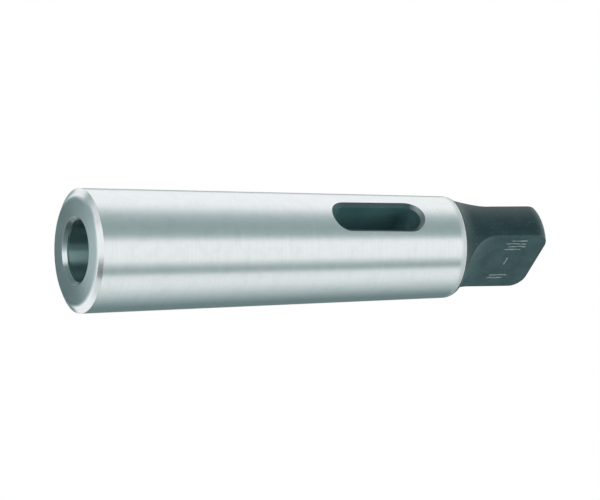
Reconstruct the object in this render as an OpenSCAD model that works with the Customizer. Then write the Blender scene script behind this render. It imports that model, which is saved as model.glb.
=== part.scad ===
// Taper reducing sleeve for a drilling machine or a lathe, all in one piece of steel.
// A size 3 shank taper outside fits the machine, and a size 1 socket taper inside takes the tool.
// The sleeve stands on its large end with the tang up. The origin is the centre of the large end.
// The drift slot runs through it along Y, and the two flats of the tang face along X.

/* [Outer taper] */
// Diameter of the outer taper, carried on to the plane of the large end
taper_d = 24.1; // [22:0.05:28]
// Diameter lost by the outer taper in each millimetre of length
taper_rate = 0.0502; // [0.045:0.0001:0.055]
// Length from the large end to the end of the ground taper
taper_l = 79.2; // [76:0.2:90]
// Length of the chamfer round the large end
end_chamfer_l = 0.85; // [0.3:0.05:1.5]
// Width of the chamfer round the large end, across the end face
end_chamfer_w = 1.5; // [0.5:0.1:2.5]

/* [Socket] */
// Diameter of the socket taper, carried on to the plane of the large end
socket_d = 12.065; // [10.5:0.005:13]
// Diameter lost by the socket taper in each millimetre of depth
socket_rate = 0.04988; // [0.045:0.00001:0.055]
// Diameter of the clearance bore behind the socket taper
clearance_d = 9.7; // [9:0.1:10]
// Depth of the clearance bore from the large end, to its full diameter
socket_l = 56; // [53:0.5:65]
// Angle of the drill point at the bottom of the bore
drill_point_angle = 118; // [90:1:140]
// Diameter of the centring chamfer at the mouth of the socket
mouth_d = 13.3; // [13.1:0.1:15]
// Length of the centring chamfer at the mouth of the socket
mouth_l = 0.8; // [0.4:0.1:2]

/* [Drift slot] */
// Height of the lower end of the drift slot above the large end
slot_start = 51.45; // [48:0.05:56]
// Length of the drift slot along the sleeve
slot_l = 18.6; // [14:0.1:20]
// Width of the drift slot, a little more than the tang that it takes
slot_w = 5.5; // [4.5:0.1:6.5]
// Size of the chamfer round both mouths of the drift slot
slot_chamfer = 0.75; // [0.3:0.05:1.2]

/* [Tang] */
// Length from the end of the ground taper to the end of the tang
tang_l = 19.3; // [16:0.1:24]
// Radius by which the tang's turned sides lie inside the small end of the taper
tang_step = 1.01; // [0.5:0.01:2]
// Radius of the fillet between the small end and the tang
neck_r = 5; // [2.5:0.1:8]
// Thickness of the tang across its two flats
tang_t = 7.5; // [6:0.1:10]
// Length of the two flats, without the rounded runout of the cutter
flat_l = 11.8; // [9:0.1:12]
// Radius of the cutter's runout at the foot of the flats
runout_r = 7; // [4:0.1:7]
// Radius round the end of the tang
tang_corner_r = 2.8; // [1:0.1:4]

/* [Centre hole] */
// Diameter of the pilot of the centre hole in the end of the tang
centre_d = 2; // [1:0.1:2.5]
// Depth of the pilot below the cone
centre_l = 2.5; // [1:0.1:5]
// Diameter of the 60 degree cone of the centre hole
centre_cone_d = 4.2; // [3:0.1:5]

/* [Hidden] */
$fn = 96;
// Overlap of a cutter past the face that it cuts
over = 1;
// Angle across the cone of a centre drill
centre_angle = 60;
// Distance that the cutter of the slot chamfer runs on past each edge of the chamfer
flare = 0.3;
// Thickness of the rims that the cutter of the slot chamfer spans
skin = 0.01;
// Facets of one full turn of that cutter
rim_fn = 64;

tang_end = taper_l + tang_l;
small_r = taper_d / 2 - taper_rate / 2 * taper_l;
tang_r = small_r - tang_step;
neck_l = sqrt(neck_r * neck_r - pow(neck_r - tang_step, 2));
flat_start = tang_end - flat_l;

mouth_r = mouth_d / 2;
clearance_r = clearance_d / 2;
clearance_start = (socket_d - clearance_d) / socket_rate;
drill_point_l = clearance_r / tan(drill_point_angle / 2);
centre_cone_l = (centre_cone_d - centre_d) / 2 / tan(centre_angle / 2);

// Radius of the outer taper at a height above the large end
function outer_r(z) = taper_d / 2 - taper_rate / 2 * z;

// Radius of the socket taper at a depth from the large end
function socket_r(z) = (socket_d - socket_rate * z) / 2;

// Half outline of the ground taper with the chamfer of its large end
module taper_outline() {
    polygon([
        [0, 0],
        [outer_r(0) - end_chamfer_w, 0],
        [outer_r(end_chamfer_l), end_chamfer_l],
        [small_r, taper_l],
        [0, taper_l]
    ]);
}

// Half outline of the tang's turned sides with their rounded end
module tang_outline() {
    round_height = tang_end - tang_corner_r;
    translate([0, taper_l - over]) square([tang_r, round_height - taper_l + over]);
    translate([0, taper_l]) square([tang_r - tang_corner_r, tang_l]);
    translate([tang_r - tang_corner_r, round_height]) circle(tang_corner_r);
}

// Fillet that leads from the small end of the taper into the tang
module neck_outline() {
    difference() {
        translate([0, taper_l - over]) square([small_r, neck_l + over]);
        translate([tang_r + neck_r, taper_l + neck_l]) circle(neck_r);
    }
}

// Round blank, as it comes from the lathe and the grinding machine
module blank() {
    rotate_extrude() {
        taper_outline();
        tang_outline();
        neck_outline();
    }
}

// Socket taper with its centring chamfer, the clearance bore and the drill point
module socket() {
    rotate_extrude() {
        polygon([
            [0, -over],
            [mouth_r, -over],
            [mouth_r, 0],
            [socket_r(mouth_l), mouth_l],
            [clearance_r, clearance_start],
            [clearance_r, socket_l],
            [0, socket_l + drill_point_l]
        ]);
    }
}

// Outline of the drift slot seen along Y, grown on all sides by a margin
module slot_outline(margin) {
    half_w = slot_w / 2;
    low = slot_start + half_w;
    high = slot_start + slot_l - half_w;
    for (height = [low, high]) {
        translate([0, height]) circle(half_w + margin);
    }
    translate([-half_w - margin, low]) square([slot_w + 2 * margin, high - low]);
}

// Straight cut with the outline of the drift slot, from y = 0 through one wall
module slot_cut(margin) {
    rotate([90, 0, 0]) linear_extrude(outer_r(0) + over) slot_outline(margin);
}

// Thin skin at a height above the ground taper, for one rim of the slot chamfer
module taper_skin(height) {
    difference() {
        cylinder(h = taper_l, r1 = outer_r(0) + height + skin, r2 = small_r + height + skin);
        translate([0, 0, -over]) cylinder(
            h = taper_l + 2 * over,
            r1 = outer_r(-over) + height,
            r2 = outer_r(taper_l + over) + height
        );
    }
}

// Chamfer round one mouth of the drift slot, as wide at the sides as at the ends.
// It flares at 45 degrees, from a rim under the foot of the chamfer to a rim over the taper.
module slot_mouth() {
    hull() {
        intersection() {
            slot_cut(slot_chamfer + flare, $fn = rim_fn);
            taper_skin(flare, $fn = rim_fn);
        }
        intersection() {
            slot_cut(-flare, $fn = rim_fn);
            taper_skin(-slot_chamfer - flare, $fn = rim_fn);
        }
    }
}

// Drift slot through both walls
module drift_slot() {
    for (turn = [0, 180]) {
        rotate([0, 0, turn]) {
            slot_cut(0);
            slot_mouth();
        }
    }
}

// Side view of the cutter that mills one flat of the tang and rounds its foot
module flat_cut() {
    rotate([90, 0, 0]) linear_extrude(2 * outer_r(0), center = true) {
        translate([tang_t / 2, flat_start]) square([2 * runout_r, flat_l + over]);
        translate([tang_t / 2 + runout_r, flat_start]) circle(runout_r);
    }
}

// Both flats of the tang
module tang_flats() {
    for (turn = [0, 180]) {
        rotate([0, 0, turn]) flat_cut();
    }
}

// Centre hole in the end of the tang, which the taper was ground on
module centre_hole() {
    translate([0, 0, tang_end]) rotate_extrude() {
        polygon([
            [0, over],
            [centre_cone_d / 2, over],
            [centre_cone_d / 2, 0],
            [centre_d / 2, -centre_cone_l],
            [centre_d / 2, -centre_cone_l - centre_l],
            [0, -centre_cone_l - centre_l - centre_d / 2 / tan(drill_point_angle / 2)]
        ]);
    }
}

module sleeve() {
    color([0.78, 0.8, 0.8]) difference() {
        blank();
        socket();
        drift_slot();
        tang_flats();
        centre_hole();
    }
}

sleeve();
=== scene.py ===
# %% [markdown]
# # A taper reducing sleeve
#
# The object is one piece of steel. A long ground taper outside fits a drilling machine, a smaller
# taper socket inside takes the tool, a slot through the wall lets a flat drift push the tool out
# again, and a flat tang at the small end keeps the sleeve from turning.
#
# The CAD model gives the true sizes. Here the same form is worked out again as fine, clean
# surfaces, with the small edge rounds that catch the light, and gets its finishes: ground steel,
# turned steel and black oxide.

# %% Load the frame
import math

import bmesh
import bpy
import numpy as np
from mathutils import Matrix, Vector


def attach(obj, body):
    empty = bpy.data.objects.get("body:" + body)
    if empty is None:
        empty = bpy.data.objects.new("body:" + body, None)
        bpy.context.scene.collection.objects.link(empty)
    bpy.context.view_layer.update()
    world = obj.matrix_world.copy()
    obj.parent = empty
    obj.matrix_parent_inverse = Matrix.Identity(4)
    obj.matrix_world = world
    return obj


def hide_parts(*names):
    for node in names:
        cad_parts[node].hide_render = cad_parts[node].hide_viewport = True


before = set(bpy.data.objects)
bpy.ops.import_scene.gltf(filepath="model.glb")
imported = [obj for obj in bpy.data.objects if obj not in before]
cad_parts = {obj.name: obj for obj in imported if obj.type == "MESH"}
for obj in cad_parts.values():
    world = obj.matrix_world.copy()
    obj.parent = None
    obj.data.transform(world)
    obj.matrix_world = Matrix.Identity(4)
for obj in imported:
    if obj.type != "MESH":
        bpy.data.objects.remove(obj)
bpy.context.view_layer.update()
MM = 0.001

# %% [markdown]
# ## Sizes
#
# All sizes are in millimetres, as on a workshop drawing. The sleeve stands on its large end with
# the tang up, so a height is a distance along the axis. The slot runs through along Y, and the
# flats of the tang face along X.

# %% Sizes of the sleeve
TAPER_D = 24.1
TAPER_RATE = 0.0502
TAPER_L = 79.2
END_CHAMFER_L = 0.85
END_CHAMFER_W = 1.5

SOCKET_D = 12.065
SOCKET_RATE = 0.04988
CLEARANCE_R = 4.85
SOCKET_L = 56.0
DRILL_POINT_ANGLE = 118
POINT_SLOPE = math.tan(math.radians(DRILL_POINT_ANGLE / 2))
MOUTH_R = 6.65
MOUTH_L = 0.8

SLOT_START = 51.45
SLOT_L = 18.6
SLOT_W = 5.5
SLOT_CHAMFER = 0.75

TANG_L = 19.3
TANG_STEP = 1.01
NECK_R = 5.0
TANG_T = 7.5
FLAT_L = 11.8
RUNOUT_R = 7.0
TANG_CORNER_R = 2.8

CENTRE_R = 1.0
CENTRE_L = 2.5
CENTRE_CONE_R = 2.1
CENTRE_ANGLE = 60

TANG_END = TAPER_L + TANG_L
FLAT_START = TANG_END - FLAT_L


def taper_r(z):
    """Radius of the outer taper: half the large diameter, less half the rate times the height."""
    return (TAPER_D - TAPER_RATE * z) / 2


def socket_r(z):
    """Radius of the socket taper: half its mouth diameter, less half the rate times the depth."""
    return (SOCKET_D - SOCKET_RATE * z) / 2


SMALL_R = taper_r(TAPER_L)
TANG_R = SMALL_R - TANG_STEP
NECK_END = TAPER_L + math.sqrt(NECK_R**2 - (NECK_R - TANG_STEP) ** 2)
CLEARANCE_START = (SOCKET_D / 2 - CLEARANCE_R) * 2 / SOCKET_RATE
print("small end radius", round(SMALL_R, 3), "tang radius", round(TANG_R, 3), "tang end", TANG_END)

# %% [markdown]
# ## One quarter is enough
#
# Seen along its axis, the sleeve has two planes of symmetry: one through the slot, one square to
# it. A boolean cut would be quick, but it leaves slivers along the slot, and polished steel shows
# every one of them as a kink in its reflections. So each surface is a small grid of points with
# its own formula, for one quarter only, and the grids share their border points. The quarter is
# then mirrored, and the doubles are merged into one closed skin.
#
# A place on a round surface is named by its turn, an angle that starts at the middle of the slot
# and ends at the middle of a flat.

# %% Grids, turns and rounded corners
# Columns of a quarter turn, and how many of them the slot's patch takes
COLUMNS = 36
SLOT_COLUMNS = 14
# Radii of the edge rounds, from the sharpest edge to the bluntest
KEEN_ROUND = 0.03
CRISP_ROUND = 0.07
EDGE_ROUND = 0.16
TANG_EDGE_ROUND = 0.208
SMALL_END_ROUND = 1.7
FACE_ROUND = 2.0
# Distance of a support point from the arc beside it
SUPPORT = 0.1

patches = []


def steps(start, end, count):
    """Evenly spaced numbers from start to end, with count gaps between them."""
    return np.linspace(start, end, count + 1)


def on_round(turn, radius, height):
    """Point of a round: x = radius sin(turn), y = -radius cos(turn), at that height."""
    turn, radius, height = np.broadcast_arrays(turn, radius, height)
    return np.stack([radius * np.sin(turn), -radius * np.cos(turn), height], axis=-1)


def add_patch(points, finish):
    """Keeps one grid of points, rows by columns by xyz, with the number of its finish."""
    patches.append((points, finish))
    return points


def between(first, second, share):
    """Blend of two border lines: the first times 1 - share, plus the second times share."""
    share = share.reshape(-1, *([1] * first.ndim))
    return first * (1 - share) + second * share


def rounded_path(corners, radii, arc_steps=5):
    """Polyline through the corners, each turned into an arc that touches both of its sides.

    The arc of radius r at a corner starts r tan(bend / 2) before it. A support point stands a
    little before the arc and after it, so that the flats beside it keep their own shading.
    """
    corners = np.asarray(corners, float)
    path = [corners[:1]]
    for before, corner, after, radius in zip(corners, corners[1:], corners[2:], radii):
        way_in = (corner - before) / np.linalg.norm(corner - before)
        way_out = (after - corner) / np.linalg.norm(after - corner)
        bend = math.atan2(way_in[0] * way_out[1] - way_in[1] * way_out[0], way_in @ way_out)
        reach = radius * math.tan(abs(bend) / 2)
        side = math.copysign(1, bend)
        centre = corner - way_in * reach + radius * side * np.array([-way_in[1], way_in[0]])
        spoke = corner - way_in * reach - centre
        angle = steps(0, bend, arc_steps)[:, None]
        across = np.array([-spoke[1], spoke[0]])
        arc = centre + spoke * np.cos(angle) + across * np.sin(angle)
        path += [corner[None] - way_in * (reach + SUPPORT), arc]
        path += [corner[None] + way_out * (reach + SUPPORT)]
    return np.concatenate(path + [corners[-1:]])


def divided(path, longest):
    """The same polyline with every piece longer than longest cut into equal shorter ones."""
    counts = np.ceil(np.linalg.norm(np.diff(path, axis=0), axis=1) / longest).astype(int)
    parts = [a + (b - a) * steps(0, 1, n)[:-1, None] for a, b, n in zip(path, path[1:], counts)]
    return np.concatenate(parts + [path[-1:]])


TURNS = np.radians(steps(0, 90, COLUMNS))
SLOT_TURNS = TURNS[: SLOT_COLUMNS + 1]
print("columns of a quarter:", COLUMNS, "- beside the slot:", SLOT_COLUMNS)

# %% [markdown]
# ## The large end, inside and out
#
# The real part is turned and bored in a lathe, and then both tapers are ground. So this surface is
# a lathe outline of radius and height carried round the axis: from the clearance bore out through
# the socket, over the face with its two chamfers, and up the outside as far as the slot.

# %% Large end and socket
GROUND, TURNED, LAPPED, SOCKET = range(4)
ROUND_OXIDE, FLAT_OXIDE, EDGE_OXIDE_WORN_AND_HIGHLIGHT, CHAMFER_OXIDE_PAINTED_HIGHLIGHT, SLOT_OXIDE_PAINTED_LIGHT = range(4, 9)
# Heights at which one surface hands over to the next, from the socket out and up to the neck
BORE_TOP = 50.2
MOUTH_IN = MOUTH_L + 0.4
CHAMFER_OUT = 2.0
PATCH_LOW = 47.0
PATCH_HIGH = 74.0
# Longest row of the plain tapers, and of the end with its edges
TAPER_ROW = 2.0
END_ROW = 0.6


def lathe(path, turns, finish):
    """Outline of (radius, height) points carried round the axis through the turns."""
    return add_patch(on_round(turns[None, :], path[:, :1], path[:, 1:]), finish)


face_r = taper_r(0) - END_CHAMFER_W
socket_path = divided(np.array([
    [CLEARANCE_R, BORE_TOP],
    [CLEARANCE_R, CLEARANCE_START],
    [socket_r(MOUTH_IN), MOUTH_IN],
]), TAPER_ROW)
end_path = divided(rounded_path(
    [
        socket_path[-1],
        [socket_r(MOUTH_L), MOUTH_L],
        [MOUTH_R, 0],
        [face_r, 0],
        [taper_r(END_CHAMFER_L), END_CHAMFER_L],
        [taper_r(CHAMFER_OUT), CHAMFER_OUT],
    ],
    [CRISP_ROUND, KEEN_ROUND, FACE_ROUND, KEEN_ROUND],
), END_ROW)
body_path = divided(np.array([end_path[-1], [taper_r(PATCH_LOW), PATCH_LOW]]), TAPER_ROW)
mouth_rows, face_rows = np.searchsorted(end_path[:, 0], [MOUTH_R, face_r]).tolist()

lathe(socket_path, TURNS, SOCKET)
lathe(end_path[: mouth_rows + 1], TURNS, LAPPED)
lathe(end_path[mouth_rows : face_rows + 1], TURNS, TURNED)
lathe(end_path[face_rows:], TURNS, GROUND)
lathe(body_path, TURNS, GROUND)
print("large end: rows", len(socket_path), len(end_path), len(body_path))

# %% [markdown]
# ## The drift slot
#
# The slot is milled with a round cutter, so its ends are half circles, and its edge is chamfered
# by an even amount all round. A point of the slot is given by where it is along the outline, by
# how far it lies outside that outline (its margin), and by how deep it lies under the ground
# taper. Margin and depth draw the section of the chamfer, with both of its edges rounded.

# %% Outline and chamfer of the slot
HALF_W = SLOT_W / 2
SLOT_LOW = SLOT_START + HALF_W
SLOT_HIGH = SLOT_START + SLOT_L - HALF_W
BORE_POINT = SOCKET_L + CLEARANCE_R / POINT_SLOPE
POINT_AT_WALL = SOCKET_L + (CLEARANCE_R - HALF_W) / POINT_SLOPE
# Steps along the outline: an end's arc, beside the bore, beside its drill point, and above it
ARC_STEPS, LOW_STEPS, POINT_STEPS, HIGH_STEPS = 30, 10, 8, 36
# How far the section runs on past the chamfer, over the taper and down the wall
OVER_TAPER, DOWN_WALL = 0.35, 0.5
SECTION_ROW = 0.3
# Rows of the section that are still ground bright, and the margin at which its wall starts
RIM_ROWS = 3
WALL_MARGIN = 0.03

end_angle = np.radians(steps(0, 90, ARC_STEPS))
straight = np.concatenate([
    steps(SLOT_LOW, SOCKET_L, LOW_STEPS),
    steps(SOCKET_L, POINT_AT_WALL, POINT_STEPS)[1:],
    steps(POINT_AT_WALL, SLOT_HIGH, HIGH_STEPS)[1:],
])
out_x = np.concatenate([np.sin(end_angle), np.ones(len(straight) - 2), np.cos(end_angle)])
out_z = np.concatenate([-np.cos(end_angle), np.zeros(len(straight) - 2), np.sin(end_angle)])
mid_z = np.concatenate([
    np.full(ARC_STEPS + 1, SLOT_LOW), straight[1:-1], np.full(ARC_STEPS + 1, SLOT_HIGH),
])


def slot_outline(margin):
    """Half outline of the slot: its middle line, plus half width and margin outwards."""
    reach = HALF_W + margin
    return out_x * reach, mid_z + out_z * reach


def slot_skin(margin, depth):
    """Points of the outline grown by margin, at depth under the taper: y = -sqrt(r^2 - x^2)."""
    x, z = slot_outline(margin)
    radius = taper_r(z) - depth
    return np.stack([x, -np.sqrt(radius**2 - x**2), z], axis=-1)


section = divided(rounded_path(
    [
        [SLOT_CHAMFER + OVER_TAPER, 0],
        [SLOT_CHAMFER, 0],
        [0, SLOT_CHAMFER],
        [0, SLOT_CHAMFER + DOWN_WALL],
    ],
    [EDGE_ROUND, CRISP_ROUND],
), SECTION_ROW)
chamfer = slot_skin(section[:, :1], section[:, 1:])
wall_row = int(np.argmax(section[:, 0] < WALL_MARGIN))
add_patch(chamfer[: RIM_ROWS + 1], GROUND)
add_patch(chamfer[RIM_ROWS : wall_row + 1], CHAMFER_OXIDE_PAINTED_HIGHLIGHT)
add_patch(chamfer[wall_row:], SLOT_OXIDE_PAINTED_LIGHT)
print("slot: points along half its outline", chamfer.shape[1], "rows of the chamfer", wall_row)

# %% [markdown]
# ## Walls of the slot
#
# Below the drill point of the bore, a wall ends at the bore. Above it the cutter went straight
# through, so the wall runs on to the middle of the sleeve and meets its mirror image there. The
# bore beside the slot is wider than the tool that goes in, so nobody grinds it, and it keeps the
# same black skin as the walls.

# %% Slot walls and the bore beside them
WALL_ROWS = 10
CONE_ROWS = 6


def bore_r(z):
    """Radius of the bore: the clearance radius, then the drill point's cone down to nothing."""
    return np.clip((BORE_POINT - z) * POINT_SLOPE, 0, CLEARANCE_R)


wall_x, wall_z = slot_outline(0.0)
wall_end = np.stack(
    [wall_x, -np.sqrt(np.clip(bore_r(wall_z) ** 2 - wall_x**2, 0, None)), wall_z], axis=-1
)
add_patch(between(chamfer[-1], wall_end, steps(0, 1, WALL_ROWS)), SLOT_OXIDE_PAINTED_LIGHT)

edge_count = ARC_STEPS + LOW_STEPS
edge = np.stack([np.arcsin(wall_x / CLEARANCE_R), wall_z], axis=-1)[: edge_count + 1]
rim = np.concatenate([
    np.stack([TURNS, np.full(COLUMNS + 1, BORE_TOP)], axis=-1),
    np.stack([
        np.full(edge_count - COLUMNS, math.pi / 2),
        steps(BORE_TOP, SOCKET_L, edge_count - COLUMNS)[1:],
    ], axis=-1),
])
bore = between(edge, rim, steps(0, 1, POINT_STEPS))
add_patch(on_round(bore[..., 0], CLEARANCE_R, bore[..., 1]), SLOT_OXIDE_PAINTED_LIGHT)

point_base = on_round(bore[:, -1, 0], CLEARANCE_R, SOCKET_L)[:, :2]
point_wall = wall_end[edge_count : edge_count + POINT_STEPS + 1, :2]
point = between(point_base, point_wall, steps(0, 1, CONE_ROWS))
point_z = BORE_POINT - np.linalg.norm(point, axis=-1, keepdims=True) / POINT_SLOPE
add_patch(np.concatenate([point, point_z], axis=-1), SLOT_OXIDE_PAINTED_LIGHT)
print("drill point meets the slot wall at", round(POINT_AT_WALL, 2), "mm")

# %% [markdown]
# ## The ground taper round the slot
#
# The patch round the slot blends from the rim of the chamfer to a plain window in turn and height.
# Every point of the blend is put back on the cone, so the ground surface stays true right up to
# the edge, and a reflection runs past the slot without a bend.

# %% Taper beside and above the slot
RING_ROWS = 8

rim_x, rim_z = slot_outline(section[0, 0])
inner = np.stack([np.arcsin(rim_x / taper_r(rim_z)), rim_z], axis=-1)
side_rows = len(rim_z) - 1 - 2 * SLOT_COLUMNS
side_z = steps(PATCH_LOW, PATCH_HIGH, side_rows)
window = np.concatenate([
    np.stack([SLOT_TURNS, np.full(SLOT_COLUMNS + 1, PATCH_LOW)], axis=-1),
    np.stack([np.full(side_rows - 1, SLOT_TURNS[-1]), side_z[1:-1]], axis=-1),
    np.stack([SLOT_TURNS[::-1], np.full(SLOT_COLUMNS + 1, PATCH_HIGH)], axis=-1),
])
ring = between(inner, window, steps(0, 1, RING_ROWS))
add_patch(on_round(ring[..., 0], taper_r(ring[..., 1]), ring[..., 1]), GROUND)
side_turns = TURNS[None, SLOT_COLUMNS:]
add_patch(on_round(side_turns, taper_r(side_z)[:, None], side_z[:, None]), GROUND)
print("rows beside the slot", side_rows)

# %% [markdown]
# ## Neck and tang
#
# The tang is turned round first, with a fillet at its root and a rounded end. Then a cutter mills
# the two flats and leaves the curve of its own radius at their foot. So each height has one cross
# section: an arc of the round, a small edge round, and the straight line of the flat.

# %% Neck, and the height where the flats start
NECK_ROW = 1.5
SMALL_END_STEPS = 10
POINTS_PAST_ARC = 3
HALVINGS = 60


def tang_round_r(z):
    """Radius of the turned tang: fillet of the neck, then a cylinder, then the rounded end."""
    fillet = TANG_R + NECK_R - np.sqrt(NECK_R**2 - np.clip(NECK_END - z, 0, None) ** 2)
    over = np.clip(z - (TANG_END - TANG_CORNER_R), 0, TANG_CORNER_R)
    return fillet - TANG_CORNER_R + np.sqrt(TANG_CORNER_R**2 - over**2)


def flat_x(z):
    """Distance of a flat from the axis: half the thickness, plus the cutter's curve at its foot."""
    below = np.clip(FLAT_START - z, 0, RUNOUT_R)
    return TANG_T / 2 + RUNOUT_R - np.sqrt(RUNOUT_R**2 - below**2)


# The runout starts where the flat's distance equals the round's radius, found by halving
low, high = FLAT_START - RUNOUT_R, FLAT_START
for _ in range(HALVINGS):
    middle = (low + high) / 2
    low, high = (middle, high) if flat_x(middle) > tang_round_r(middle) else (low, middle)
RUNOUT_START = high

neck_path = divided(rounded_path(
    [
        [taper_r(PATCH_HIGH), PATCH_HIGH],
        [SMALL_R, TAPER_L],
        [tang_round_r(RUNOUT_START), RUNOUT_START],
    ],
    [SMALL_END_ROUND],
    arc_steps=SMALL_END_STEPS,
), NECK_ROW)
# The black skin starts halfway round the edge of the small end
bright_rows = len(neck_path) - POINTS_PAST_ARC - SMALL_END_STEPS // 2
lathe(neck_path[: bright_rows + 1], TURNS, GROUND)
lathe(neck_path[bright_rows:], TURNS, ROUND_OXIDE)
print("flats start at", round(RUNOUT_START, 2), "mm, full depth from", FLAT_START)

# %% Round of the tang and its flats
# Rows along the runout, the flat and the rounded end; columns across the edge and half a flat
RUNOUT_ROWS, FLAT_ROWS, CORNER_ROWS = 30, 30, 12
EDGE_COLUMNS, FLAT_COLUMNS = 5, 28

corner_turns = np.radians(steps(0, 90, CORNER_ROWS))
tang_z = np.concatenate([
    RUNOUT_START + (FLAT_START - RUNOUT_START) * steps(0, 1, RUNOUT_ROWS) ** 2,
    steps(FLAT_START, TANG_END - TANG_CORNER_R, FLAT_ROWS)[1:],
    TANG_END - TANG_CORNER_R + TANG_CORNER_R * np.sin(corner_turns)[1:],
])
round_r = tang_round_r(tang_z)
flat = np.minimum(flat_x(tang_z), round_r)
centre_x = flat - TANG_EDGE_ROUND
centre_y = -np.sqrt(np.clip((round_r - TANG_EDGE_ROUND) ** 2 - centre_x**2, 0, None))
touch = np.arctan2(centre_x, -centre_y)[:, None]
tang_z = tang_z[:, None]

arc = on_round(touch * steps(0, 1, COLUMNS), round_r[:, None], tang_z)
small = between(touch, np.full_like(touch, math.pi / 2), steps(0, 1, EDGE_COLUMNS))[..., 0].T
small = on_round(small, TANG_EDGE_ROUND, 0 * tang_z) + np.stack(
    [centre_x[:, None], centre_y[:, None], tang_z], axis=-1
)
line_y = centre_y[:, None] * (1 - steps(0, 1, FLAT_COLUMNS))
line = np.stack(np.broadcast_arrays(flat[:, None], line_y, tang_z), axis=-1)
add_patch(arc, ROUND_OXIDE)
add_patch(small, EDGE_OXIDE_WORN_AND_HIGHLIGHT)
add_patch(line, FLAT_OXIDE)
print("tang: rows", len(tang_z), "columns", arc.shape[1], small.shape[1], line.shape[1])

# %% [markdown]
# ## End of the tang
#
# The end face has the small centre hole on which the taper was ground, as such a part has. The
# face is a blend from the rim of that hole to the outline of the tang.

# %% End face and centre hole
END_FACE_ROWS = 4

outline = np.concatenate([arc[-1], small[-1, 1:], line[-1, 1:]])
hole_turns = np.radians(steps(0, 90, len(outline) - 1))
hole_rim = on_round(hole_turns, CENTRE_CONE_R, TANG_END)
add_patch(between(outline, hole_rim, steps(0, 1, END_FACE_ROWS)), ROUND_OXIDE)

cone_end = TANG_END - (CENTRE_CONE_R - CENTRE_R) / math.tan(math.radians(CENTRE_ANGLE / 2))
hole_end = cone_end - CENTRE_L
hole_path = np.array([
    [CENTRE_CONE_R, TANG_END],
    [CENTRE_R, cone_end],
    [CENTRE_R, hole_end],
    [0, hole_end - CENTRE_R / POINT_SLOPE],
])
lathe(hole_path, hole_turns, ROUND_OXIDE)
quarter = sum((grid.shape[0] - 1) * (grid.shape[1] - 1) for grid, _ in patches)
print("patches:", len(patches), "quads of a quarter:", quarter)

# %% [markdown]
# ## One closed skin
#
# The quarter is mirrored twice, the shared border points are merged, and the faces are turned to
# point outwards. Edges sharper than 30 degrees are marked sharp; all the others shade smoothly.

# %% Build the mesh
# Points closer than this are one point, and faces thinner than the next are dropped
MERGE_WITHIN = 0.0012
THINNEST = 0.0005
SHARP_FROM = 30


def quads(rows, columns, first):
    """Corner numbers of the quads of a grid whose points are numbered row by row from first."""
    number = first + np.arange(rows * columns).reshape(rows, columns)
    corners = [number[:-1, :-1], number[:-1, 1:], number[1:, 1:], number[1:, :-1]]
    return np.stack(corners, axis=-1).reshape(-1, 4)


points, faces, finishes = [], [], []
count = 0
for x_side, y_side in [(1, 1), (-1, 1), (-1, -1), (1, -1)]:
    for grid, finish in patches:
        points.append(grid.reshape(-1, 3) * [x_side, y_side, 1])
        corners = quads(grid.shape[0], grid.shape[1], count)
        faces.append(corners if x_side == y_side else corners[:, ::-1])
        finishes.append(np.full(len(corners), finish))
        count += grid.shape[0] * grid.shape[1]

mesh = bpy.data.meshes.new("steel_sleeve")
mesh.from_pydata((np.concatenate(points) * MM).tolist(), [], np.concatenate(faces).tolist())
mesh.polygons.foreach_set("material_index", np.concatenate(finishes).astype(np.int32))

shell = bmesh.new()
shell.from_mesh(mesh)
bmesh.ops.remove_doubles(shell, verts=shell.verts, dist=MERGE_WITHIN * MM)
bmesh.ops.dissolve_degenerate(shell, edges=shell.edges, dist=THINNEST * MM)
bmesh.ops.recalc_face_normals(shell, faces=shell.faces)
open_edges = sum(not e.is_manifold for e in shell.edges)
volume = shell.calc_volume(signed=True) / MM**3
shell.to_mesh(mesh)
shell.free()

mesh.shade_smooth()
mesh.set_sharp_from_angle(angle=math.radians(SHARP_FROM))
sleeve = bpy.data.objects.new("steel_sleeve", mesh)
bpy.context.collection.objects.link(sleeve)
print("faces", len(mesh.polygons), "open edges", open_edges, "volume in mm3", round(volume, 1))

# %% [markdown]
# ## Finishes
#
# Each finish is a node material on Object coordinates, which are metres here. One helper adds a
# node with its settings and its links, and one function turns a written colour into linear light.

# %% Helpers for the materials


def colour(code):
    """Linear RGBA of an sRGB hex code: ((v + 0.055) / 1.055) ^ 2.4, or v / 12.92 when dark."""
    value = np.array([int(code[i : i + 2], 16) for i in (1, 3, 5)]) / 255
    linear = np.where(value <= 0.04045, value / 12.92, ((value + 0.055) / 1.055) ** 2.4)
    return (*linear.tolist(), 1.0)


def node(tree, kind, settings=None, **links):
    """Adds a node. Settings name its own options; links name inputs, by value or by a socket."""
    made = tree.nodes.new(kind)
    for name, value in (settings or {}).items():
        setattr(made, name, value)
    for name, value in links.items():
        key = int(name[1:]) if name[0] == "i" and name[1:].isdigit() else name.replace("_", " ")
        if isinstance(value, bpy.types.NodeSocket):
            tree.links.new(value, made.inputs[key])
        else:
            made.inputs[key].default_value = value
    return made


def new_material(name):
    """An empty node material, and its node tree."""
    material = bpy.data.materials.new(name)
    material.use_nodes = True
    material.node_tree.nodes.clear()
    return material, material.node_tree


def finish_with(tree, shader):
    """Adds the output node and links the shader to its surface."""
    node(tree, "ShaderNodeOutputMaterial", Surface=shader)


# Share of the height's scale that the noise keeps round the axis, which draws it out into lines
DRAWN_OUT = 0.004


def lines_across(tree, spacing, seed):
    """Noise drawn out round the axis into lines that lie spacing millimetres apart in height."""
    place = node(tree, "ShaderNodeTexCoord").outputs["Object"]
    scale = 1 / (spacing * MM)
    stretched = node(
        tree, "ShaderNodeMapping", Vector=place, Location=(seed, seed, seed),
        Scale=(scale * DRAWN_OUT, scale * DRAWN_OUT, scale),
    )
    return node(
        tree, "ShaderNodeTexNoise", {"noise_dimensions": "3D"},
        Vector=stretched.outputs["Vector"], Scale=1.0, Detail=2.0, Roughness=0.6,
    ).outputs["Fac"]


print("white paper:", [round(v, 3) for v in colour("#F4F4F2")])

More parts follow.
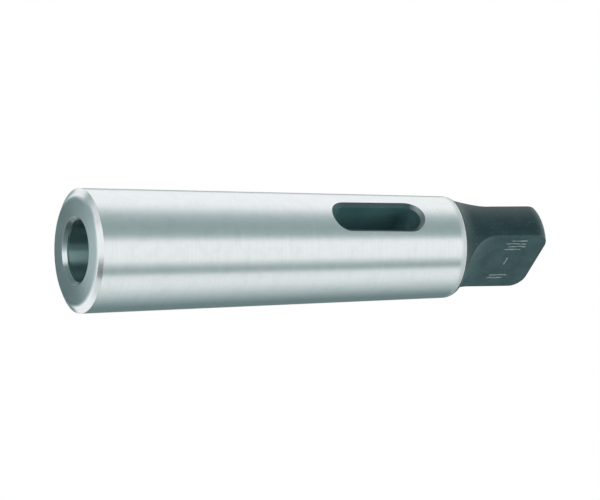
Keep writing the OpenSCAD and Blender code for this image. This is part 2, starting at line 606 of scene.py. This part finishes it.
# %% [markdown]
# ## Ground steel
#
# The taper is ground on a grinding machine. Its wheel leaves fine lines round the axis, too fine
# to see one by one, which spread each highlight along the axis. The shader is a plain metal with
# anisotropy turned that way, and the noise that stands for the lines is drawn coarser than life.
# Handling leaves a faint mottle. The last millimetre before the neck is rubbed dull: the roughness
# there grows with the height, so the bands of the reflection run together at the small end.

# %% Ground steel material
# Heights between which the small end turns dull
DULL_FROM = TAPER_L - 1.3
DULL_TO = TAPER_L - 0.5

ground_steel, tree = new_material("ground_steel")
fine = lines_across(tree, spacing=0.35, seed=3.0)
broad = lines_across(tree, spacing=2.5, seed=7.0)
place = node(tree, "ShaderNodeTexCoord").outputs["Object"]
mottle = node(
    tree, "ShaderNodeTexNoise", Vector=place, Scale=1 / (2.5 * MM), Detail=4.0, Roughness=0.6,
).outputs["Fac"]
dull = node(
    tree, "ShaderNodeMapRange", Value=mottle, From_Min=0.48, From_Max=0.72, To_Max=0.09,
).outputs["Result"]
tone = node(
    tree, "ShaderNodeMix", {"data_type": "RGBA"},
    Factor=fine, i6=colour("#E4E9EA"), i7=colour("#F1F5F6"),
).outputs[2]
tone = node(
    tree, "ShaderNodeMix", {"data_type": "RGBA"}, Factor=dull, i6=tone, i7=colour("#A3B3B6"),
).outputs[2]
evenly_rough = node(
    tree, "ShaderNodeMapRange", Value=broad,
    From_Min=0.3, From_Max=0.7, To_Min=0.20, To_Max=0.24,
).outputs["Result"]
height = node(tree, "ShaderNodeSeparateXYZ", Vector=place).outputs["Z"]
rubbed = node(
    tree, "ShaderNodeMapRange", Value=height,
    From_Min=DULL_FROM * MM, From_Max=DULL_TO * MM, To_Max=0.36,
).outputs["Result"]
rough = node(
    tree, "ShaderNodeMath", {"operation": "ADD"}, i0=evenly_rough, i1=rubbed
).outputs["Value"]
relief = node(
    tree, "ShaderNodeBump", Height=fine, Strength=0.03, Distance=0.05 * MM,
).outputs["Normal"]
tangent = node(tree, "ShaderNodeTangent", {"direction_type": "RADIAL", "axis": "Z"})
steel = node(
    tree, "ShaderNodeBsdfPrincipled", Base_Color=tone, Metallic=1.0, Roughness=rough,
    Anisotropic=0.5, Anisotropic_Rotation=0.25, Normal=relief, Tangent=tangent.outputs["Tangent"],
)
finish_with(tree, steel.outputs["BSDF"])
print("ground steel:", len(tree.nodes), "nodes")

# %% [markdown]
# ## Turned steel
#
# The end face is turned. The tool leaves a fine spiral, which looks like rings round the axis, so
# the pattern is noise of the distance from the axis only. The ridges of the spiral all lean
# outwards, so the face looks a little crowned: one side of it catches more light than the other.
# In the shader that lean is a height that falls with the distance from the axis.

# %% Turned steel material


def tooled_steel(tree, marks, tones, roughness, anisotropy, along=0.0, lean=0.0, ridge=0.0):
    """Metal with tool marks: tone follows the marks, height = lean * along + ridge * marks."""
    tone = node(
        tree, "ShaderNodeMix", {"data_type": "RGBA"},
        Factor=marks, i6=colour(tones[0]), i7=colour(tones[1]),
    ).outputs[2]
    ridges = node(
        tree, "ShaderNodeMath", {"operation": "MULTIPLY"}, i0=marks, i1=ridge * MM
    ).outputs["Value"]
    height = node(
        tree, "ShaderNodeMath", {"operation": "MULTIPLY_ADD"}, i0=along, i1=lean, i2=ridges
    ).outputs["Value"]
    relief = node(
        tree, "ShaderNodeBump", Height=height, Strength=1.0, Distance=1.0,
    ).outputs["Normal"]
    tangent = node(tree, "ShaderNodeTangent", {"direction_type": "RADIAL", "axis": "Z"})
    steel = node(
        tree, "ShaderNodeBsdfPrincipled", Base_Color=tone, Metallic=1.0, Roughness=roughness,
        Anisotropic=anisotropy, Anisotropic_Rotation=0.25, Normal=relief,
        Tangent=tangent.outputs["Tangent"],
    )
    finish_with(tree, steel.outputs["BSDF"])


turned_steel, tree = new_material("turned_steel")
place = node(tree, "ShaderNodeTexCoord").outputs["Object"]
level_place = node(
    tree, "ShaderNodeVectorMath", {"operation": "MULTIPLY"}, i0=place, i1=(1.0, 1.0, 0.0)
).outputs["Vector"]
distance = node(
    tree, "ShaderNodeVectorMath", {"operation": "LENGTH"}, i0=level_place
).outputs["Value"]
rings = node(
    tree, "ShaderNodeTexNoise", {"noise_dimensions": "1D"},
    W=distance, Scale=1 / (0.3 * MM), Detail=2.0,
).outputs["Fac"]
tooled_steel(
    tree, rings, ("#B2C5C7", "#C5D7D9"), roughness=0.28, anisotropy=0.4,
    along=distance, lean=-0.075, ridge=0.02,
)
print("turned steel:", len(tree.nodes), "nodes")

# %% [markdown]
# ## Lapped steel
#
# The chamfer at the mouth of the socket is the centre on which the sleeve turns while its taper is
# ground. It is lapped smooth for that, so it has the lines of the lathe but no ridges, and it is
# brighter than the face round it.

# %% Lapped steel material
lapped_steel, tree = new_material("lapped_steel")
tooled_steel(
    tree, lines_across(tree, spacing=0.3, seed=5.0), ("#DEEAEB", "#EAF3F4"),
    roughness=0.28, anisotropy=0.4,
)
print("lapped steel:", len(tree.nodes), "nodes")

# %% [markdown]
# ## Bored steel
#
# The socket is bored. Its steel is coloured darker than the outside, as painted shade for the
# inside of the socket. The ridges of the boring tool run round the axis and lean towards the mouth,
# so they turn the light that comes in from below back out to the eye. Here that lean is a height
# that grows with the depth.

# %% Bored steel material
bored_steel_painted_shade, tree = new_material("bored_steel_painted_shade")
place = node(tree, "ShaderNodeTexCoord").outputs["Object"]
depth = node(tree, "ShaderNodeSeparateXYZ", Vector=place).outputs["Z"]
# Both tones are darker than the outside steel: painted shade inside the socket.
tooled_steel(
    tree, lines_across(tree, spacing=0.5, seed=11.0), ("#738D8E", "#829D9E"),
    roughness=0.35, anisotropy=0.9, along=depth, lean=0.42, ridge=0.004,
)
print("bored steel:", len(tree.nodes), "nodes")

# %% [markdown]
# ## Black oxide
#
# Before it is ground, the whole sleeve is hardened and blackened. The grinding wheel takes the
# thin black skin off the taper and leaves it on the tang, in the neck and in the slot. The skin
# is satin, a little blue-green and slightly cloudy, with a few light specks where it is rubbed.
# The milled flats and the walls of the slot are rougher than the turned parts. The flats have a
# lighter skin, and the walls of the slot a lighter one still, as painted light that lifts the shade
# inside the slot. Along the edges the skin is lighter too: handling thins it there, and the lighter
# tone also paints the highlight on the edge rounds. One function makes them all, because only a
# few numbers differ.

# %% Black oxide materials
# Colour of the steel where the skin is rubbed through, and of the painted highlight at the slot's
# end
BARE_STEEL_AND_HIGHLIGHT = "#B4BFBF"


def black_oxide(name, dark, light, roughness, marks=None, metallic_pale=False):
    """Cloudy satin skin between two colours, with pale specks, and marks if a mask is given.

    With metallic_pale, the specks and the marks shine as steel does.
    """
    material, tree = new_material(name)
    place = node(tree, "ShaderNodeTexCoord").outputs["Object"]
    clouds = node(
        tree, "ShaderNodeTexNoise", Vector=place, Scale=1 / (4.0 * MM), Detail=4.0, Roughness=0.6,
    ).outputs["Fac"]
    grain = node(
        tree, "ShaderNodeTexNoise", Vector=place, Scale=1 / (0.35 * MM), Detail=2.0,
    ).outputs["Fac"]
    cloudy = node(
        tree, "ShaderNodeMapRange", Value=clouds, From_Min=0.3, From_Max=0.7,
    ).outputs["Result"]
    tone = node(
        tree, "ShaderNodeMix", {"data_type": "RGBA"},
        Factor=cloudy, i6=colour(dark), i7=colour(light),
    ).outputs[2]
    pale_mask = node(
        tree, "ShaderNodeMapRange", Value=grain, From_Min=0.69, From_Max=0.76, To_Max=0.5,
    ).outputs["Result"]
    if marks:
        pale_mask = node(
            tree, "ShaderNodeMath", {"operation": "MAXIMUM"}, i0=pale_mask, i1=marks(tree, place)
        ).outputs["Value"]
    tone = node(
        tree, "ShaderNodeMix", {"data_type": "RGBA"}, Factor=pale_mask, i6=tone, i7=colour(BARE_STEEL_AND_HIGHLIGHT),
    ).outputs[2]
    rough = node(
        tree, "ShaderNodeMapRange", Value=clouds, From_Min=0.3, From_Max=0.7,
        To_Min=roughness - 0.05, To_Max=roughness + 0.06,
    ).outputs["Result"]
    relief = node(
        tree, "ShaderNodeBump", Height=grain, Strength=0.15, Distance=0.05 * MM,
    ).outputs["Normal"]
    skin = node(
        tree, "ShaderNodeBsdfPrincipled", Base_Color=tone, Roughness=rough, IOR=1.6,
        Specular_Tint=colour("#C4E4E6"), Metallic=pale_mask if metallic_pale else 0.0, Normal=relief,
    )
    finish_with(tree, skin.outputs["BSDF"])
    return material


print("rubbed through:", [round(v, 3) for v in colour(BARE_STEEL_AND_HIGHLIGHT)])

# %% [markdown]
# ## Strokes on one flat
#
# One flat carries a few plain strokes, scratched through the black skin by an etching pen. Each
# stroke is a thin box: a point's distance from it is the greater of its distances along Y and Z,
# less the half sizes. A little noise on the place makes the line unsteady, as a hand does.

# %% Strokes on the flat
# Middle of each stroke along Y and Z, and its half sizes
STROKES = [
    ((-6.6, 92.3), (0.15, 1.7)),
    ((-5.7, 91.9), (0.15, 2.2)),
    ((-4.8, 92.4), (0.15, 1.9)),
    ((-3.9, 91.8), (0.15, 1.8)),
    ((0.0, 91.8), (1.15, 0.16)),
    ((4.4, 91.9), (0.15, 2.0)),
    ((5.3, 91.5), (0.15, 1.6)),
]
# Most that the noise moves a place. Its mean is half, which each stroke's middle allows for
SHAKE = 0.6
# Only what lies further out along X than this is marked
MARKED_FROM = 3.0


def etched_strokes(tree, place):
    """Mask of the strokes: 1 inside a stroke, 0 outside, only on the flat that faces +X."""
    shake = node(
        tree, "ShaderNodeTexNoise", Vector=place, Scale=1 / (1.2 * MM), Detail=3.0,
    ).outputs["Color"]
    shaken = node(
        tree, "ShaderNodeVectorMath", {"operation": "MULTIPLY_ADD"},
        i0=shake, i1=(0, SHAKE * MM, SHAKE * MM), i2=place,
    ).outputs["Vector"]
    nearest = None
    for (y, z), (half_y, half_z) in STROKES:
        away = node(
            tree, "ShaderNodeVectorMath", {"operation": "SUBTRACT"}, i0=shaken,
            i1=(0, (y + SHAKE / 2) * MM, (z + SHAKE / 2) * MM),
        ).outputs["Vector"]
        size = node(
            tree, "ShaderNodeVectorMath", {"operation": "ABSOLUTE"}, i0=away
        ).outputs["Vector"]
        past = node(
            tree, "ShaderNodeVectorMath", {"operation": "SUBTRACT"}, i0=size,
            i1=(1.0, half_y * MM, half_z * MM),
        ).outputs["Vector"]
        parts = node(tree, "ShaderNodeSeparateXYZ", Vector=past).outputs
        distance = node(
            tree, "ShaderNodeMath", {"operation": "MAXIMUM"}, i0=parts["Y"], i1=parts["Z"]
        ).outputs["Value"]
        nearest = distance if nearest is None else node(
            tree, "ShaderNodeMath", {"operation": "MINIMUM"}, i0=nearest, i1=distance
        ).outputs["Value"]
    inside = node(
        tree, "ShaderNodeMapRange", Value=nearest, From_Min=0.05 * MM, From_Max=-0.08 * MM,
    ).outputs["Result"]
    side = node(tree, "ShaderNodeSeparateXYZ", Vector=place).outputs["X"]
    front = node(
        tree, "ShaderNodeMath", {"operation": "GREATER_THAN"}, i0=side, i1=MARKED_FROM * MM
    ).outputs["Value"]
    worn = node(
        tree, "ShaderNodeTexNoise", Vector=place, Scale=1 / (0.5 * MM), Detail=2.0,
    ).outputs["Fac"]
    strength = node(
        tree, "ShaderNodeMapRange", Value=worn, From_Min=0.35, From_Max=0.6,
        To_Min=0.45, To_Max=1.0,
    ).outputs["Result"]
    shown = node(
        tree, "ShaderNodeMath", {"operation": "MULTIPLY"}, i0=inside, i1=front
    ).outputs["Value"]
    return node(
        tree, "ShaderNodeMath", {"operation": "MULTIPLY"}, i0=shown, i1=strength
    ).outputs["Value"]


print("strokes:", len(STROKES))

# %% [markdown]
# ## Painted highlight at the end of the slot
#
# At the end of the slot near the tang, the chamfer is painted with a thin pale crescent that shines
# as metal: a painted highlight on that edge. Its mask needs only the height, because the slot ends
# at the same height on both sides.

# %% Painted highlight at the slot's end, and the five shades of black oxide
# Heights between which the painted highlight on the slot's edge grows
HIGHLIGHT_FROM = SLOT_HIGH + 1.2
HIGHLIGHT_TO = SLOT_HIGH + 2.7


def painted_slot_end_highlight(tree, place):
    """Mask of the painted highlight: it grows evenly with the height near the slot's upper end."""
    height = node(tree, "ShaderNodeSeparateXYZ", Vector=place).outputs["Z"]
    return node(
        tree, "ShaderNodeMapRange", Value=height, To_Max=0.8,
        From_Min=HIGHLIGHT_FROM * MM, From_Max=HIGHLIGHT_TO * MM,
    ).outputs["Result"]


round_oxide = black_oxide("black_oxide_turned", "#162A2D", "#243D40", 0.40)
flat_oxide = black_oxide("black_oxide_milled", "#2D464A", "#486366", 0.5, etched_strokes)
# Lighter skin on the edge rounds of the tang: partly thinned by handling, partly a painted
# highlight.
edge_oxide_worn_and_highlight = black_oxide("black_oxide_edge_worn_and_highlight", "#2D4345", "#3C5456", 0.42)
# Skin of the slot's chamfer, with the painted highlight at the slot's upper end.
chamfer_oxide_painted_highlight = black_oxide(
    "black_oxide_chamfer_painted_highlight", "#2D4345", "#3C5456", 0.42, painted_slot_end_highlight, metallic_pale=True
)
# Lighter skin for the walls of the slot and the bore beside them: painted light that lifts the
# shade in the slot.
slot_oxide_painted_light = black_oxide("black_oxide_slot_painted_light", "#446A6C", "#557B7D", 0.55)
print("worn edge from", round(HIGHLIGHT_FROM, 2), "mm up")

# %% [markdown]
# ## The finishes and the body
#
# Each face of the mesh already holds the number of its finish, so the materials only have to be
# listed in the order of those numbers. The sleeve rides on the model's one body and stands for the
# plain CAD piece.

# %% Finishes onto the mesh, and the sleeve onto its body
for material in (
    ground_steel, turned_steel, lapped_steel, bored_steel_painted_shade,
    round_oxide, flat_oxide, edge_oxide_worn_and_highlight, chamfer_oxide_painted_highlight, slot_oxide_painted_light,
):
    mesh.materials.append(material)
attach(sleeve, "root")
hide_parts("sleeve")
print("finishes:", [m.name for m in mesh.materials])

# %% [markdown]
# ## Floor
#
# A plain pale floor lies under the large end. The photograph's view is from below it, so its
# underside lets the view through, and it is there for the camera only: the light from below
# still reaches the end face.

# %% Floor material and plane
# Metres: radius of the floor, and how close two of its points are when they become one
FLOOR_R = 6.0
WELD_WITHIN = 1e-5

pale_floor, tree = new_material("pale_floor")
paint = node(
    tree, "ShaderNodeBsdfDiffuse", Color=colour("#F0F0F0"),
).outputs["BSDF"]
clear = node(tree, "ShaderNodeBsdfTransparent").outputs["BSDF"]
below = node(tree, "ShaderNodeNewGeometry").outputs["Backfacing"]
finish_with(tree, node(tree, "ShaderNodeMixShader", i0=below, i1=paint, i2=clear).outputs["Shader"])


def disc(radius, rings_count, turns_count):
    """Level disc: rings of growing radius, each carried round the whole turn."""
    ring_r = steps(0.0, 1.0, rings_count)[:, None] ** 2 * radius
    angle = steps(0, 2 * math.pi, turns_count)[None, :]
    x, y, z = np.broadcast_arrays(ring_r * np.cos(angle), ring_r * np.sin(angle), 0.0 * angle)
    return np.stack([x, y, z], axis=-1)


def stage_mesh(name, grid, material):
    """Puts one grid of points, in metres, into an object that belongs to the studio."""
    surface = bpy.data.meshes.new(name)
    corners = quads(grid.shape[0], grid.shape[1], 0)
    surface.from_pydata(grid.reshape(-1, 3).tolist(), [], corners.tolist())
    work = bmesh.new()
    work.from_mesh(surface)
    bmesh.ops.remove_doubles(work, verts=work.verts, dist=WELD_WITHIN)
    work.to_mesh(surface)
    work.free()
    surface.materials.append(material)
    thing = bpy.data.objects.new(name, surface)
    bpy.context.collection.objects.link(thing)
    return thing


floor = stage_mesh("floor", disc(FLOOR_R, rings_count=12, turns_count=96), pale_floor)
if floor.data.polygons[0].normal.z < 0:
    floor.data.flip_normals()
for ray in ("diffuse", "glossy", "transmission", "volume_scatter", "shadow"):
    setattr(floor, "visible_" + ray, False)
print("floor normal", tuple(floor.data.polygons[0].normal))

# %% [markdown]
# ## Studio walls
#
# Bright steel shows its surroundings, so they make most of the picture. The sleeve stands between
# white walls, with a grey card on one side, a narrow dark stand on the other, and a side that
# falls off into the dark of the room. The wall is a surface of (direction, height) round the
# object, and the camera doesn't see it. Above it and below it the studio is white.

# %% Walls with grey cards
# Metres from the axis, and between the lowest and the highest edge
WALL_R = 2.0
WALL_LOW, WALL_HIGH = -0.18, 2.4
WALL_TURNS, WALL_LEVELS = 96, 8
# How much red a black wall lacks, how fast that fades towards white, and the gain in blue
RED_LOSS, RED_FADE, BLUE_GAIN = 0.4, 1.4, 1.005


def wall(start, end, low, high, radius=WALL_R):
    """Upright wall: a circle of that radius through the directions, carried up the heights."""
    angle = np.radians(steps(start, end, WALL_TURNS))[None, :]
    height = steps(low, high, WALL_LEVELS)[:, None]
    x, y, z = np.broadcast_arrays(radius * np.sin(angle), -radius * np.cos(angle), height)
    return np.stack([x, y, z], axis=-1)


def cool_grey(level):
    """Grey of that share of white; the darker it is, the more it lacks red, like a shaded wall."""
    red = level * (1 - RED_LOSS * (1 - level) ** RED_FADE)
    return (red, level, level * BLUE_GAIN, 1.0)


def unseen(thing):
    """Keeps a studio piece out of the camera's view; it only shows in reflections and as light."""
    for ray in ("camera", "transmission", "volume_scatter", "shadow"):
        setattr(thing, "visible_" + ray, False)


def card_material(name, tones):
    """Glowing wall whose brightness follows the direction, from stops of (degrees, level)."""
    material, tree = new_material(name)
    place = node(tree, "ShaderNodeTexCoord").outputs["Object"]
    around = node(
        tree, "ShaderNodeTexGradient", {"gradient_type": "RADIAL"}, Vector=place
    ).outputs["Fac"]
    ramp = node(tree, "ShaderNodeValToRGB", Fac=around)
    elements = ramp.color_ramp.elements
    for index, (direction, level) in enumerate(tones):
        spot = (direction + 90) / 360
        stop = elements[index] if index < 2 else elements.new(spot)
        stop.position = spot
        stop.color = cool_grey(level)
    glow = node(tree, "ShaderNodeEmission", Color=ramp.outputs["Color"], Strength=1.0)
    finish_with(tree, glow.outputs["Emission"])
    return material


# Direction in degrees from -Y towards +X, and how bright the wall is there, as a share of white
WALL_TONES = [
    (-90, 1.0), (-66, 1.0), (-55, 0.94), (-39, 0.65), (-31, 0.51), (-15, 0.40), (-5, 0.38),
    (9, 0.44), (17, 0.70), (22, 0.96), (57, 0.95), (65, 0.68), (73, 0.42), (81, 0.41),
    (88, 0.84), (100, 0.90), (113, 0.83), (137, 0.54), (153, 0.36), (169, 0.24), (190, 0.22),
    (205, 0.24), (222, 0.30), (236, 0.42), (246, 0.98), (270, 1.0),
]
wall_paint = card_material("upper_wall", WALL_TONES)
unseen(stage_mesh("upper_wall", wall(-90, 270, WALL_LOW, WALL_HIGH), wall_paint))
print("wall tones:", len(WALL_TONES))

# %% [markdown]
# ## Cards below
#
# The end face, its chamfer and the mouth of the socket look down past the base, where smaller
# cards stand in the white. Each is a piece of wall again, in one tone. The dark cards at the sides
# give the end face and the bore their greys. The gap of white between them lights the middle of
# the bore and one patch of the chamfer at its mouth, and a half grey card dims one edge of that
# light. A corner card greys the round that leads from the end face into its chamfer. A small black
# card close below, like the front of a lens, leaves one dark spot in that chamfer.

# %% Cards below the base
# Name, directions in degrees, heights in metres, distance in metres, share of white
LOW_CARDS = [
    ("side_card", (63, 165), (-1.8, -0.18), 2.0, 0.05),
    ("low_side_card", (63, 165), (-4.5, -1.8), 2.0, 0.18),
    ("half_card", (38, 63), (-4.5, -0.18), 2.0, 0.35),
    ("side_edge", (165, 182), (-0.65, -0.18), 2.0, 0.14),
    ("back_card", (203, 226), (-1.15, -0.18), 2.0, 0.15),
    ("base_card", (238, 268), (-0.22, 0.30), 1.95, 0.25),
    ("corner_card", (226, 262), (-3.0, -1.15), 2.0, 0.45),
    ("far_card", (-108, -2), (-1.1, -0.18), 2.0, 0.15),
    ("low_far_card", (-92, -18), (-1.8, -1.1), 2.0, 0.22),
    ("foot_card", (-80, -18), (-4.5, -1.8), 2.0, 0.12),
    ("pale_card", (125, 190), (-3.8, -0.5), 0.4, 0.80),
    ("lens_card", (141, 181), (-1.6, -0.64), 0.3, 0.0),
]
for name, (start, end), (low, high), distance, level in LOW_CARDS:
    material = card_material(name, [(-90, level), (270, level)])
    unseen(stage_mesh(name, wall(start, end, low, high, distance), material))
print("cards below:", [card[0] for card in LOW_CARDS])

# %% [markdown]
# ## World and lamp
#
# The world is plain white, which is also the white background. A large soft lamp gives the floor
# a gentle shadow. It hangs far off, so that the floor under it doesn't turn to blank white, and
# it is kept out of the reflections, which the walls already fill.

# %% Light
world = bpy.data.worlds.new("white_studio")
world.use_nodes = True
world.node_tree.nodes.clear()
sky = node(world.node_tree, "ShaderNodeBackground", Color=(1.0, 1.0, 1.0, 1.0), Strength=1.0)
node(world.node_tree, "ShaderNodeOutputWorld", Surface=sky.outputs["Background"])
bpy.context.scene.world = world

lamp_data = bpy.data.lights.new("soft_lamp", "AREA")
lamp_data.shape = "DISK"
lamp_data.size = 1.0
lamp_data.energy = 14.0
lamp = bpy.data.objects.new("soft_lamp", lamp_data)
lamp.location = (0.7, -1.1, 1.8)
lamp.rotation_euler = (Vector((0, 0, 0.05)) - lamp.location).to_track_quat("-Z", "Y").to_euler()
lamp.visible_glossy = False
bpy.context.collection.objects.link(lamp)
bpy.context.scene.view_settings.view_transform = "Standard"
print("lamp at", tuple(round(v, 2) for v in lamp.location))

# %% [markdown]
# ## Camera
#
# The photograph was taken with a long lens, looking at the large end from the side of the drift
# slot, with the sleeve lying level across the picture. The sleeve stands here, so the same view is
# from below its base, turned until the axis runs across the frame.

# %% Camera at the photograph's angle
AIM = (0.23, 0.17, 47.6)
VIEW_AZIMUTH = math.radians(37.22)
VIEW_ELEVATION = math.radians(-25.54)
VIEW_DISTANCE = 924.7
LENS = 283.9
PICTURE_UP = (-0.79343, -0.60859, 0.00969)

back = Vector((
    math.sin(VIEW_AZIMUTH) * math.cos(VIEW_ELEVATION),
    -math.cos(VIEW_AZIMUTH) * math.cos(VIEW_ELEVATION),
    math.sin(VIEW_ELEVATION),
))
right = Vector(PICTURE_UP).cross(back).normalized()
up = back.cross(right)
camera_data = bpy.data.cameras.new("camera")
camera_data.lens = LENS
camera_data.clip_start = 0.05
camera_data.clip_end = 20.0
camera = bpy.data.objects.new("camera", camera_data)
bpy.context.collection.objects.link(camera)
camera.matrix_world = (
    Matrix.Translation((Vector(AIM) + back * VIEW_DISTANCE) * MM)
    @ Matrix((right, up, back)).transposed().to_4x4()
)
bpy.context.scene.camera = camera
print("camera at", [round(v, 3) for v in camera.matrix_world.translation])
